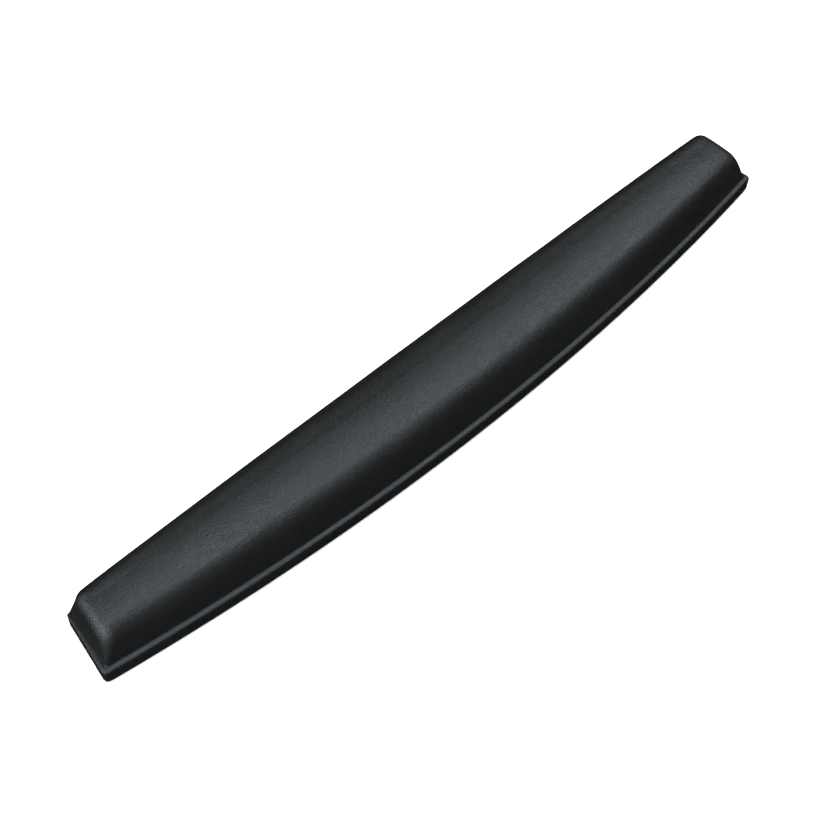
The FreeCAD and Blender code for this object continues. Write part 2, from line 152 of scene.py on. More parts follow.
class FootprintSizes(bpy.types.PropertyGroup):
    """The plan of the rest and its moulded rim."""
    overall_length: length("Length", 0.470, "Between the rim's front corners")
    depth_middle: length("Depth, middle", COVER_HIGH.y - COVER_LOW.y, "Front to back, half way along")
    depth_ends: length("Depth, ends", 0.0372, "Front to back, at the ends")
    back_bow: length("Back bow", 0.0038, "Rise of the back edge over its length")
    end_lean: angle("End lean", 9.5, "How far the ends lean in towards the back")
    corner_radius: length("Corner radius", 0.003, "Plan corners of the rim")
    rim_height: length("Rim height", 0.011, "Surface to the top of the rim")
    rim_width: length("Rim width", 0.0032, "Rim's outside to the crease, along the front")
    rim_width_ends: length("Rim width, ends", 0.0026, "Rim's outside to the crease, front of the ends")
    rim_width_back: length("Rim width, back", 0.0007, "Rim's outside to the crease, along the back")
    bead_radius: length("Bead radius", 0.0066, "Gently falling top of the rim")
    edge_radius: length("Edge radius", 0.0010, "Outer top edge of the rim")
    crease_depth: length("Crease depth", 0.0006, "How far the crease lies below the rim's top")
    foot_round: length("Foot rounding", 0.0010, "Outer bottom edge of the rim")
    hem_width: length("Hem width", 0.009, "Cover turned in under the tray")
    skin: length("Skin", 0.0008, "Thickness of the leatherette")


class CushionSizes(bpy.types.PropertyGroup):
    """The cushion's cross-section and its ends."""
    slope_radius_middle: length("Slope radius, middle", 0.026, "Front slope, half way along")
    slope_radius_ends: length("Slope radius, ends", 0.040, "Front slope, at the ends")
    slope_drop: length("Slope drop", 0.002, "Slope's centre below the rim's top")
    shoulder_radius_middle: length("Shoulder radius, middle", 0.014, "Front shoulder, half way along")
    shoulder_radius_ends: length("Shoulder radius, ends", 0.0115, "Front shoulder, at the ends")
    crown_radius: length("Crown radius", 0.110, "Top of the cushion")
    crest_middle: length("Crest, middle", 0.004, "Crest behind the middle line, half way along")
    crest_ends: length("Crest, ends", 0.018, "Crest behind the middle line, at the ends")
    back_radius_middle: length("Back radius, middle", 0.0080, "Top back edge, half way along")
    back_radius_ends: length("Back radius, ends", 0.0048, "Top back edge, at the ends")
    back_batter: angle("Back batter", 5.5, "Slant of the back wall")
    end_batter: angle("End batter", 10.0, "Slant of the end faces")
    end_radius: length("End radius", 0.0075, "Edges of the end faces, at the top")
    end_radius_back: length("End radius, back", 0.0062, "Edges of the end faces, at the top and back")
    end_radius_low: length("End radius, low", 0.0032, "Edges of the end faces, at the crease")
    swell: length("Swell", 0.0010, "How far the gel pushes the cover out")
    dimple: length("Dimple", 0.00012, "Height of the slow unevenness of the filled cover")


class MeshCounts(bpy.types.PropertyGroup):
    """How finely the pieces are divided, and the sheet's studs."""
    along: whole("Along", 112, "Divisions of the cover along the front and back", 20)
    across: whole("Across", 20, "Divisions of the cover across each end", 8)
    levels: whole("Levels", 17, "Rings of the cover from the crease to the crown", 6)
    smoothing: whole("Smoothing", 1, "Subdivision levels of the cover", 0)
    filling_along: whole("Filling, along", 70, "Divisions of the gel along the front and back", 20)
    filling_across: whole("Filling, across", 14, "Divisions of the gel across each end", 8)
    filling_levels: whole("Filling, levels", 12, "Rings of the gel from its foot to the crown", 6)
    sheet_along: whole("Sheet, along", 60, "Divisions of the sheet along the front and back", 20)
    sheet_across: whole("Sheet, across", 12, "Divisions of the sheet across each end", 8)
    stud_pitch: length("Stud pitch", 0.0032, "Spacing of the studs under the sheet")
    stud_height: length("Stud height", 0.0004, "Height of the studs")


class FinishColours(bpy.types.PropertyGroup):
    """Colours and gloss of the materials."""
    leather_dark: colour("Leather, low", (0.0012, 0.0015, 0.0018), "Leatherette in the grain's valleys")
    leather_light: colour("Leather, high", (0.0030, 0.0037, 0.0042), "Leatherette on the grain's tops")
    leather_roughness: share("Leather roughness", 0.40, "Spread of the leatherette's shine")
    leather_specular: share("Leather shine", 0.42, "Strength of the leatherette's shine")
    grain_pitch: length("Grain pitch", 0.0011, "Size of the leather grain's cells")
    rubber: colour("Rubber", (0.020, 0.021, 0.022), "Non-skid sheet")
    tray: colour("Tray", (0.030, 0.031, 0.033), "Moulded tray")
    foam: colour("Foam", (0.36, 0.37, 0.39), "Foam bed")
    gel: colour("Gel", (0.42, 0.60, 0.72), "Gel pad")
    film: colour("Film", (0.80, 0.84, 0.86), "Clear film round the gel")
    adhesive: colour("Adhesive", (0.70, 0.62, 0.42), "Glue layers")


class StudioSizes(bpy.types.PropertyGroup):
    """The camera and the lights."""
    azimuth: angle("Azimuth", -45.937, "Camera's turn round the rest")
    elevation: angle("Elevation", 55.125, "Camera's height as an angle")
    roll: angle("Roll", -3.077, "Camera's roll")
    distance: length("Distance", 0.83855, "Camera to the middle of the rest")
    slide: FloatProperty(name="Slide", default=-0.02145, unit="LENGTH",
                         description="Camera moved sideways")
    lift: FloatProperty(name="Lift", default=-0.00760, unit="LENGTH",
                        description="Camera moved up or down")
    lens: FloatProperty(name="Lens", default=69.65, description="Focal length in millimetres", min=1.0)
    key_place: spot("Key place", (0.30, 0.0, 0.98), "Middle of the overhead soft box")
    key_sides: sides("Key sides", (1.60, 0.23), "Overhead soft box, along and across the rest")
    key_power: share("Key power", 14.0, "Overhead soft box, in watts", 1000.0)
    end_place: spot("End place", (-0.95, -0.05, 0.58), "Middle of the soft box off the left end")
    end_sides: sides("End sides", (0.55, 1.20), "Soft box off the left end, upwards and across")
    end_power: share("End power", 19.0, "Soft box off the left end, in watts", 1000.0)
    light: colour("Light", (0.90, 0.96, 1.0), "Colour of both soft boxes")
    sky: share("Sky", 1.50, "Brightness of the surroundings", 10.0)
    floor: colour("Floor", (0.86, 0.86, 0.86), "Pale floor")
    floor_reach: length("Floor reach", 6.0, "Middle of the floor to its edge")


GROUPS = (
    ("rest_footprint", FootprintSizes),
    ("rest_cushion", CushionSizes),
    ("rest_mesh", MeshCounts),
    ("rest_finish", FinishColours),
    ("rest_studio", StudioSizes),
)


# ---------------------------------------------------------------- the outside form

def rounded_least(first, second, radius):
    """The smaller of two distances, with the edge where they meet rounded."""
    corner = np.hypot(np.maximum(radius - first, 0.0), np.maximum(radius - second, 0.0))
    return np.maximum(radius, np.minimum(first, second)) - corner


def ease(value):
    """Runs smoothly from 0 to 1."""
    value = np.clip(value, 0.0, 1.0)
    return value * value * (3.0 - 2.0 * value)


class Form:
    """The cover's outside, as distances inwards from its surfaces."""

    FULL_ROUND = 0.8        # share of the cushion's height where the end edges reach their top radius
    BACK_SHIFT = 0.3        # how far in front of the middle the back's radii start, in half depths
    LOW_THINNING = 0.7      # share of the low radius that is lost towards the back

    def __init__(self, scene):
        plan, cushion = scene.rest_footprint, scene.rest_cushion
        self.plan, self.cushion = plan, cushion
        self.height = COVER_HIGH.z
        self.half = plan.overall_length / 2
        self.half_depth = plan.depth_middle / 2
        bow = plan.depth_middle - plan.depth_ends - plan.back_bow
        self.front_radius = (self.half ** 2 + bow ** 2) / (2 * bow)
        self.back_radius = (self.half ** 2 + plan.back_bow ** 2) / (2 * plan.back_bow)
        self.corner = Vector((self.half, bow - self.half_depth))
        self.outwards = Vector((math.cos(plan.end_lean), math.sin(plan.end_lean)))
        self.end_distance = self.corner.dot(self.outwards)
        self.crease = plan.rim_height - plan.crease_depth

    def edges(self, points):
        """Distances in from the front, the back and the nearer end of the footprint."""
        x, y = points[:, 0], points[:, 1]
        front = self.front_radius - np.hypot(x, y - self.front_radius + self.half_depth)
        back = self.back_radius - np.hypot(x, y + self.back_radius - self.half_depth)
        end = self.end_distance - (np.abs(x) * self.outwards.x + y * self.outwards.y)
        return front, back, end

    def outline(self, points, inset=0.0):
        """Distance in from the rim's outline less the inset, stretched where the rim is narrower."""
        front, back, end = self.edges(points)
        back = self.stretched(back, self.plan.rim_width_back)
        end = self.stretched(end, self.ledge(points[:, 1]))
        return rounded_least(np.minimum(front, back), end, self.plan.corner_radius) - inset

    def ledge(self, y):
        """The rim's width at the ends, which narrows towards the back."""
        front, back = self.plan.rim_width_ends, self.plan.rim_width_back
        return front + (back - front) * np.clip((y - self.corner.y) / self.plan.depth_ends, 0.0, 1.0)

    def stretched(self, distance, width):
        """Distances across a narrower part of the rim, as if it had its full width."""
        full = self.plan.rim_width
        return np.where(distance < width, distance * full / width, distance + full - width)

    def between(self, name, x):
        """A size of the cushion that changes from the middle to the ends."""
        ends, middle = getattr(self.cushion, name + "_ends"), getattr(self.cushion, name + "_middle")
        return ends + (middle - ends) * np.clip(1.0 - (x / self.half) ** 2, 0.0, 1.0)

    def section(self, points):
        """Distance in from the front slope, the shoulder and the crown: arcs that run into one another."""
        size, x, place = self.cushion, points[:, 0], points[:, 1:]
        slope, shoulder = self.between("slope_radius", x), self.between("shoulder_radius", x)
        crown = size.crown_radius
        inner_arc = self.front_radius - self.plan.rim_width
        arc_height = np.sqrt(inner_arc ** 2 - np.minimum(np.abs(x), inner_arc) ** 2)
        foot = self.front_radius - self.half_depth - arc_height
        slope_middle = np.column_stack([foot + np.sqrt(slope ** 2 - size.slope_drop ** 2),
                                        np.full(len(x), self.plan.rim_height - size.slope_drop)])
        crown_middle = np.column_stack([self.between("crest", x), np.full(len(x), self.height - crown)])
        apart = crown_middle - slope_middle
        distance = np.linalg.norm(apart, axis=1)
        along = (distance ** 2 + (slope - shoulder) ** 2 - (crown - shoulder) ** 2) / (2 * distance)
        aside = np.sqrt(np.maximum((slope - shoulder) ** 2 - along ** 2, 0.0))
        unit = apart / distance[:, None]
        square_to = unit[:, ::-1] * (1.0, -1.0)
        shoulder_middle = slope_middle + unit * along[:, None] + square_to * aside[:, None]
        from_slope, from_crown = shoulder_middle - slope_middle, shoulder_middle - crown_middle
        offset = place - shoulder_middle
        below = from_slope[:, 0] * offset[:, 1] - from_slope[:, 1] * offset[:, 0] > 0.0
        behind = from_crown[:, 0] * offset[:, 1] - from_crown[:, 1] * offset[:, 0] < 0.0
        to_slope = place - slope_middle
        slope_depth = slope - np.hypot(np.minimum(to_slope[:, 0], 0.0), to_slope[:, 1])
        crown_depth = crown - np.linalg.norm(place - crown_middle, axis=1)
        shoulder_depth = shoulder - np.linalg.norm(offset, axis=1)
        return np.where(below, slope_depth, np.where(behind, crown_depth, shoulder_depth))

    def dome(self, points, inset=0.0):
        """Distance in from the cushion's surface."""
        size, y = self.cushion, points[:, 1]
        rise = points[:, 2] - self.plan.rim_height
        _, back, end = self.edges(points)
        back_face = ((back - self.plan.rim_width_back) * math.cos(size.back_batter)
                     - rise * math.sin(size.back_batter))
        surface = rounded_least(self.section(points), back_face, self.between("back_radius", points[:, 0]))
        end_face = (end - self.ledge(y)) * math.cos(size.end_batter) - rise * math.sin(size.end_batter)
        climb = ease(rise / (self.FULL_ROUND * (self.height - self.plan.rim_height)))
        to_back = ease(y / self.half_depth + self.BACK_SHIFT)
        top_radius = size.end_radius + (size.end_radius_back - size.end_radius) * to_back
        low_radius = size.end_radius_low * (1.0 - self.LOW_THINNING * to_back)
        edge_radius = low_radius + (top_radius - low_radius) * climb
        return rounded_least(surface, end_face, edge_radius) - inset


def reach(inside, starts, ways, far=0.08, halvings=36):
    """The points along the ways where the inside distance falls to nothing."""
    near, away = np.zeros(len(starts)), np.full(len(starts), far)
    for _ in range(halvings):
        middle = (near + away) / 2
        within = inside(starts + ways * middle[:, None]) > 0.0
        near, away = np.where(within, middle, near), np.where(within, away, middle)
    return starts + ways * near[:, None]


def closer_at_ends(count, gather):
    """Even steps from -1 to 1, gathered towards both ends."""
    steps = np.linspace(-1.0, 1.0, count + 1)
    return (1.0 - gather) * steps + gather * np.sin(steps * math.pi / 2)


class Spokes:
    """Rays from a line inside the cushion to points spread round its footprint."""

    GATHER_ALONG, GATHER_ACROSS = 0.78, 0.55    # how strongly the points crowd towards the corners
    SPINE_SETBACK = 0.75                        # from the ends to the line, in depths of the cushion

    def __init__(self, form, along, across):
        self.form, self.along, self.across = form, along, across
        corner = np.array([[form.corner.x, form.corner.y]])
        up_the_end = np.array([[-form.outwards.y, form.outwards.x]])
        back_corner = reach(lambda p: form.edges(p)[1], corner, up_the_end)[0]
        lengthwise = closer_at_ends(along, self.GATHER_ALONG)
        crosswise = (closer_at_ends(across, self.GATHER_ACROSS) + 1.0) / 2
        front_x, back_x = lengthwise * form.corner.x, lengthwise * back_corner[0]
        front_y = form.front_radius - form.half_depth - np.sqrt(form.front_radius ** 2 - front_x ** 2)
        back_y = form.half_depth - form.back_radius + np.sqrt(form.back_radius ** 2 - back_x ** 2)
        right = corner + crosswise[:, None] * (back_corner - corner)
        left = (right * (-1.0, 1.0))[::-1]
        front, back = np.stack([front_x, front_y], 1), np.stack([back_x, back_y], 1)[::-1]
        self.targets = np.concatenate([front[:-1], right[:-1], back[:-1], left[:-1]])
        spine_end = form.half - self.SPINE_SETBACK * (form.plan.depth_ends - form.plan.rim_width)
        inner_x = np.clip((front_x + back_x) / 2, -spine_end, spine_end)
        inner_y = np.interp(inner_x, front_x, (front_y + back_y) / 2)
        spine = np.stack([inner_x, inner_y], 1)
        self.starts = np.concatenate([spine[:-1], np.repeat(spine[-1:], across, 0),
                                      spine[::-1][:-1], np.repeat(spine[:1], across, 0)])
        ways = self.targets - self.starts
        self.ways = ways / np.linalg.norm(ways, axis=1)[:, None]

    def flat_ring(self, inset, level):
        """A level ring, drawn in from the rim's outline."""
        ring = reach(lambda p: self.form.outline(p, inset), self.starts, self.ways)
        return np.column_stack([ring, np.full(len(ring), level)])

    def dome_ring(self, climb, inset, level):
        """A ring on the cushion, as seen from inside at an angle of climb from the level."""
        starts = np.column_stack([self.starts, np.full(len(self.starts), level)])
        upwards = np.full(len(self.ways), math.sin(climb))
        ways = np.column_stack([self.ways * math.cos(climb), upwards])
        return reach(lambda p: self.form.dome(p, inset), starts, ways)


# ---------------------------------------------------------------- mesh helpers

def ring_of(mesh, marks, points):
    """A closed ring of vertices, each marked with its place round the ring."""
    made = bmesh.ops.create_circle(mesh, cap_ends=False, radius=1.0, segments=len(points))
    for place, vertex in enumerate(made["verts"]):
        vertex[marks] = place
        vertex.co = points[place]
    return list(dict.fromkeys(edge for vertex in made["verts"] for edge in vertex.link_edges))


def next_ring(mesh, marks, edges, points):
    """Extrudes a ring and sets each new vertex on its point."""
    made = bmesh.ops.extrude_edge_only(mesh, edges=edges)["geom"]
    vertices = {item for item in made if isinstance(item, bmesh.types.BMVert)}
    for vertex in vertices:
        vertex.co = points[vertex[marks]]
    return [item for item in made if isinstance(item, bmesh.types.BMEdge)
            and item.verts[0] in vertices and item.verts[1] in vertices]


def crowned(mesh, marks, edges, spokes, rings, inset, level):
    """Closes a ring upwards over the cushion: rings up to the crown, then a grid across it."""
    for climb in map(float, np.linspace(0.0, LAST_CLIMB, rings)):
        edges = next_ring(mesh, marks, edges, spokes.dome_ring(climb, inset(climb), level))
    turns = 2 * (spokes.along + spokes.across)
    rails = []
    for edge in edges:
        first, last = sorted(vertex[marks] for vertex in edge.verts)
        place = last if (first, last) == (0, turns - 1) else first
        if place % (turns // 2) < spokes.along:
            rails.append(edge)
    before = set(mesh.verts)
    bmesh.ops.grid_fill(mesh, edges=rails, mat_nr=0, use_smooth=True, use_interp_simple=True)
    inner = [vertex for vertex in mesh.verts if vertex not in before]
    if len(inner) != (spokes.along - 1) * (spokes.across - 1):
        raise RuntimeError("the crown was not filled")
    starts = np.array([(vertex.co.x, vertex.co.y, level) for vertex in inner])
    ways = np.repeat([[0.0, 0.0, 1.0]], len(inner), 0)
    top = inset(math.radians(90.0))
    for vertex, point in zip(inner, reach(lambda p: spokes.form.dome(p, top), starts, ways)):
        vertex.co = point
    bmesh.ops.recalc_face_normals(mesh, faces=mesh.faces)
    highest = max(mesh.faces, key=lambda face: face.calc_center_median().z)
    if highest.normal.z < 0.0:
        bmesh.ops.reverse_faces(mesh, faces=mesh.faces)
    mesh.normal_update()


def finished(mesh, name, node, material):
    """Turns a bmesh into a piece that stands for a CAD node."""
    data = bpy.data.meshes.new(name)
    mesh.to_mesh(data)
    mesh.free()
    for polygon in data.polygons:
        polygon.use_smooth = True
    piece = bpy.data.objects.new(name, data)
    bpy.context.scene.collection.objects.link(piece)
    data.materials.append(material)
    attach(piece, "root")
    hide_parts(node)
    return piece


def rim_profile(plan, low):
    """The rim's section from the hem's cut edge, out and up, over its top and into the crease."""
    foot, top = plan.foot_round, plan.rim_height
    under = [(plan.hem_width * (1.0 - part), low) for part in (0.0, 0.33, 0.66)]
    bottom = [(foot * (1.0 - math.sin(turn)), low + foot * (1.0 - math.cos(turn)))
              for turn in map(math.radians, (0, 30, 60, 90))]
    side = [(0.0, low + (top - low) * part) for part in (0.3, 0.5, 0.68)]
    crest = plan.bead_radius * math.sin(BEAD_FALL) + plan.edge_radius * (1.0 - math.sin(BEAD_FALL))
    shoulder = top - plan.bead_radius * (1.0 - math.cos(BEAD_FALL))
    edge = [(plan.edge_radius * (1.0 - math.sin(turn)),
             shoulder - plan.edge_radius * (math.cos(BEAD_FALL) - math.cos(turn)))
            for turn in np.linspace(math.radians(90), BEAD_FALL, 4)]
    bead = [(crest - plan.bead_radius * math.sin(turn), top - plan.bead_radius * (1.0 - math.cos(turn)))
            for turn in np.linspace(BEAD_FALL, 0.0, 5)[1:]]
    dip = [(crest + (plan.rim_width - crest) * part, top - plan.crease_depth * part ** 2)
           for part in (0.4, 0.75, 0.95)]
    return under + bottom + side + edge + bead + dip


def coordinates(vertices, what):
    """The vertices' places or normals, one to a row."""
    flat = np.empty(len(vertices) * 3)
    vertices.foreach_get(what, flat)
    return flat.reshape(-1, 3)


def swollen(piece, form, cap):
    """How far the gel's pressure pushes each point of the cover out along its normal, up to the cap.

    A cloth simulation on a copy finds it. Movement inwards or along the cover is left out.
    """
    rest = coordinates(piece.data.vertices, "co")
    copy = bpy.data.objects.new("cover_swelling", piece.data.copy())
    scene = bpy.context.scene
    scene.collection.objects.link(copy)
    held = copy.vertex_groups.new(name="held")
    for index, place in enumerate(rest):
        grip = 1.0 - float(ease((place[2] - form.crease - HELD_RISE) / HOLD_FADE))
        inset = float(form.outline(place[None, :2])[0])
        held.add([index], 1.0 if inset < form.plan.rim_width + HELD_STRIP else grip, "REPLACE")
    cloth = copy.modifiers.new("Cloth", "CLOTH")
    for name, value in CLOTH.items():
        setattr(cloth.settings, name, value)
    cloth.settings.vertex_group_mass = "held"
    cloth.settings.effector_weights.gravity = 0.0
    cloth.collision_settings.use_collision = False
    cloth.point_cache.frame_start, cloth.point_cache.frame_end = 1, FRAMES
    for number in range(1, FRAMES + 1):
        scene.frame_set(number)
    settled = copy.evaluated_get(bpy.context.evaluated_depsgraph_get())
    push = coordinates(settled.data.vertices, "co") - rest
    scene.frame_set(1)
    data = copy.data
    bpy.data.objects.remove(copy)
    bpy.data.meshes.remove(data)
    if not np.isfinite(push).all():
        raise RuntimeError("the cover's simulation did not settle")
    normals = coordinates(piece.data.vertices, "normal")
    outward = np.maximum((push * normals).sum(axis=1), 0.0)
    return normals * (cap * np.tanh(outward / cap))[:, None]


def evened(mesh, push, passes):
    """Spreads each point's movement over its neighbours."""
    pairs = np.array([(edge.verts[0].index, edge.verts[1].index) for edge in mesh.edges])
    number = np.zeros(len(push))
    np.add.at(number, pairs[:, 0], 1.0)
    np.add.at(number, pairs[:, 1], 1.0)
    for _ in range(passes):
        total = np.zeros_like(push)
        np.add.at(total, pairs[:, 0], push[pairs[:, 1]])
        np.add.at(total, pairs[:, 1], push[pairs[:, 0]])
        push = (push + total / number[:, None]) / 2
    return push


# ---------------------------------------------------------------- materials

class Finish:
    """A node material on the piece's own object coordinates."""

    def __init__(self, name):
        self.material = bpy.data.materials.new(name)
        self.material.use_nodes = True
        self.tree = self.material.node_tree
        self.tree.nodes.clear()
        self.shader = self.add("ShaderNodeBsdfPrincipled")
        out = self.add("ShaderNodeOutputMaterial")
        self.link(self.shader.outputs["BSDF"], out.inputs["Surface"])
        self.place = self.add("ShaderNodeTexCoord").outputs["Object"]

    def add(self, kind, **values):
        """Adds a node; names with a capital letter are its sockets."""
        node = self.tree.nodes.new(kind)
        for name, value in values.items():
            if name[0].isupper():
                node.inputs[name.replace("_", " ")].default_value = value
            else:
                setattr(node, name, value)
        return node

    def link(self, start, end):
        """Joins an output to an input."""
        self.tree.links.new(start, end)

    def shine(self, **values):
        """Sets values on the shader's own sockets."""
        for name, value in values.items():
            self.shader.inputs[name.replace("_", " ")].default_value = value

    def cloud(self, pitch, detail=3.0, roughness=0.55):
        """Soft noise with blobs of about the pitch."""
        node = self.add("ShaderNodeTexNoise", Scale=1.0 / pitch, Detail=detail, Roughness=roughness)
        self.link(self.place, node.inputs["Vector"])
        return node.outputs["Fac"]

    def cells(self, pitch, feature="F1", place=None):
        """Cells of about the pitch: how far each point is from its cell's middle or edge."""
        node = self.add("ShaderNodeTexVoronoi", feature=feature, Scale=1.0 / pitch)
        self.link(place or self.place, node.inputs["Vector"])
        return node.outputs["Distance"]

    def remap(self, value, low, high, new_low, new_high):
        """Maps a value from one range to another."""
        node = self.add("ShaderNodeMapRange", From_Min=low, From_Max=high,
                        To_Min=new_low, To_Max=new_high)
        self.link(value, node.inputs["Value"])
        return node.outputs["Result"]

    def swing(self, value, low, high):
        """Spreads noise over a range."""
        return self.remap(value, NOISE_LOW, NOISE_HIGH, low, high)

    def combine(self, first, second, how):
        """Adds or multiplies two values."""
        node = self.add("ShaderNodeMath", operation=how)
        for place, value in enumerate((first, second)):
            if isinstance(value, float):
                node.inputs[place].default_value = value
            else:
                self.link(value, node.inputs[place])
        return node.outputs["Value"]

    def weighted(self, first, *others):
        """Adds values up, each times its weight."""
        total = self.combine(*first, "MULTIPLY")
        for value, weight in others:
            total = self.combine(total, self.combine(value, weight, "MULTIPLY"), "ADD")
        return total

    def blend(self, factor, first, second):
        """The base colour runs between two colours."""
        node = self.add("ShaderNodeMix", data_type="RGBA")
        node.inputs["A"].default_value = (*first, 1.0)
        node.inputs["B"].default_value = (*second, 1.0)
        self.link(factor, node.inputs["Factor"])
        self.link(node.outputs["Result"], self.shader.inputs["Base Color"])

    def relief(self, value, height, strength=1.0, under=None):
        """A bump of a real height, laid over another."""
        node = self.add("ShaderNodeBump", Strength=strength, Distance=height)
        self.link(value, node.inputs["Height"])
        if under is not None:
            self.link(under, node.inputs["Normal"])
        return node.outputs["Normal"]


def shade(tone, factor):
    """A colour made lighter or darker."""
    return tuple(factor * part for part in tone)


def leatherette(finish):
    """Black embossed leatherette: pebbled grain, fine pores, slow changes of tone and gloss."""
    made = Finish("leatherette")
    warps_per_metre, warp_reach = 260.0, 0.0011
    warp = made.add("ShaderNodeTexNoise", Scale=warps_per_metre, Detail=2.0)
    made.link(made.place, warp.inputs["Vector"])
    bend = made.add("ShaderNodeVectorMath", operation="SCALE", Scale=warp_reach)
    made.link(warp.outputs["Color"], bend.inputs["Vector"])
    bent = made.add("ShaderNodeVectorMath", operation="ADD")
    made.link(made.place, bent.inputs[0])
    made.link(bend.outputs["Vector"], bent.inputs[1])
    place = bent.outputs["Vector"]
    pebbles = made.cells(finish.grain_pitch, "DISTANCE_TO_EDGE", place)
    valley_width, pebble_top, pebble_foot = 0.16, 0.1, 0.75
    valleys = made.remap(pebbles, 0.0, valley_width, 0.0, 1.0)
    from_middle = made.cells(finish.grain_pitch, "F1", place)
    pebble_round = made.remap(from_middle, pebble_top, pebble_foot, 1.0, 0.0)
    pores = made.cloud(pitch=0.00035, detail=2.0, roughness=0.6)
    waves = made.cloud(pitch=0.0042)
    slow = made.cloud(pitch=0.035)
    tone = made.weighted((valleys, 0.45), (slow, 0.35), (waves, 0.35))
    made.blend(tone, finish.leather_dark, finish.leather_light)
    valley_dullness, slow_change = 0.10, 0.03
    rough = made.combine(made.remap(valleys, 0.0, 1.0, valley_dullness, 0.0),
                         made.swing(slow, finish.leather_roughness - slow_change,
                                    finish.leather_roughness + slow_change), "ADD")
    made.link(rough, made.shader.inputs["Roughness"])
    grain = made.relief(made.combine(valleys, pebble_round, "ADD"), height=0.00011, strength=0.55)
    grain = made.relief(waves, height=0.00018, strength=0.60, under=grain)
    grain = made.relief(pores, height=0.00003, strength=0.5, under=grain)
    made.link(grain, made.shader.inputs["Normal"])
    made.shine(Specular_IOR_Level=finish.leather_specular, Sheen_Weight=0.01, Sheen_Roughness=0.5)
    return made.material


def rubber(finish):
    """Dark natural rubber: mottled, dull, with a fine sponge texture."""
    made = Finish("base_rubber")
    mottle = made.cloud(pitch=0.006, detail=4.0, roughness=0.65)
    made.blend(made.swing(mottle, 0.0, 1.0), shade(finish.rubber, 0.6), shade(finish.rubber, 1.7))
    made.link(made.swing(mottle, 0.78, 0.92), made.shader.inputs["Roughness"])
    sponge = made.relief(made.cells(pitch=0.0006), height=0.00008, strength=0.6)
    sponge = made.relief(made.cloud(pitch=0.0018), height=0.0001, strength=0.4, under=sponge)
    made.link(sponge, made.shader.inputs["Normal"])
    made.shine(Specular_IOR_Level=0.28)
    return made.material


def moulded_tray(finish):
    """Black moulded plastic with a spark-eroded texture."""
    made = Finish("tray_plastic")
    haze = made.cloud(pitch=0.02)
    made.blend(haze, shade(finish.tray, 0.8), shade(finish.tray, 1.25))
    made.link(made.swing(haze, 0.42, 0.56), made.shader.inputs["Roughness"])
    sparks = made.cloud(pitch=0.0005, detail=4.0, roughness=0.7)
    made.link(made.relief(sparks, height=0.00005, strength=0.5), made.shader.inputs["Normal"])
    made.shine(Specular_IOR_Level=0.45)
    return made.material


def open_foam(finish):
    """Grey open-cell foam."""
    made = Finish("foam")
    cells = made.cells(pitch=0.0011)
    cell_middle, cell_wall = 0.1, 0.7
    made.blend(made.remap(cells, cell_middle, cell_wall, 0.0, 1.0),
               shade(finish.foam, 1.12), shade(finish.foam, 0.45))
    made.link(made.remap(cells, cell_middle, cell_wall, 0.85, 1.0), made.shader.inputs["Roughness"])
    made.link(made.relief(cells, height=0.0004, strength=0.9), made.shader.inputs["Normal"])
    made.shine(Specular_IOR_Level=0.2, Sheen_Weight=0.1)
    return made.material


def soft_gel(finish):
    """Blue-clear gel with slow swirls and a gently bulging surface."""
    made = Finish("gel")
    swirl = made.cloud(pitch=0.03)
    made.blend(swirl, shade(finish.gel, 0.75), finish.gel)
    made.link(made.swing(swirl, 0.10, 0.2), made.shader.inputs["Roughness"])
    bulges = made.cloud(pitch=0.012)
    made.link(made.relief(bulges, height=0.0003, strength=0.3), made.shader.inputs["Normal"])
    made.shine(Transmission_Weight=0.55, IOR=1.43, Subsurface_Weight=0.2)
    return made.material


def clear_film(finish):
    """Clear film, faintly wrinkled."""
    made = Finish("clear_film")
    wrinkle = made.cloud(pitch=0.009, detail=4.0, roughness=0.6)
    made.blend(wrinkle, shade(finish.film, 0.9), finish.film)
    made.link(made.swing(wrinkle, 0.08, 0.22), made.shader.inputs["Roughness"])
    made.link(made.relief(wrinkle, height=0.0003, strength=0.5), made.shader.inputs["Normal"])
    made.shine(Transmission_Weight=0.8, IOR=1.5)
    return made.material


def dried_glue(finish):
    """Pressed glue: amber, blotchy and half glossy."""
    made = Finish("adhesive")
    blotch = made.cloud(pitch=0.008, detail=4.0, roughness=0.6)
    made.blend(made.swing(blotch, 0.0, 1.0), shade(finish.adhesive, 0.7), finish.adhesive)
    made.link(made.swing(blotch, 0.25, 0.5), made.shader.inputs["Roughness"])
    ridges = made.cloud(pitch=0.002)
    made.link(made.relief(ridges, height=0.0001, strength=0.5), made.shader.inputs["Normal"])
    made.shine(Transmission_Weight=0.2)
    return made.material


def pale_floor(studio):
    """Plain pale studio floor."""
    made = Finish("studio_floor")
    paper = made.cloud(pitch=0.05, detail=2.0)
    made.blend(paper, shade(studio.floor, 0.995), studio.floor)
    made.shine(Roughness=0.9, Specular_IOR_Level=0.1)
    return made.material


# ---------------------------------------------------------------- operators

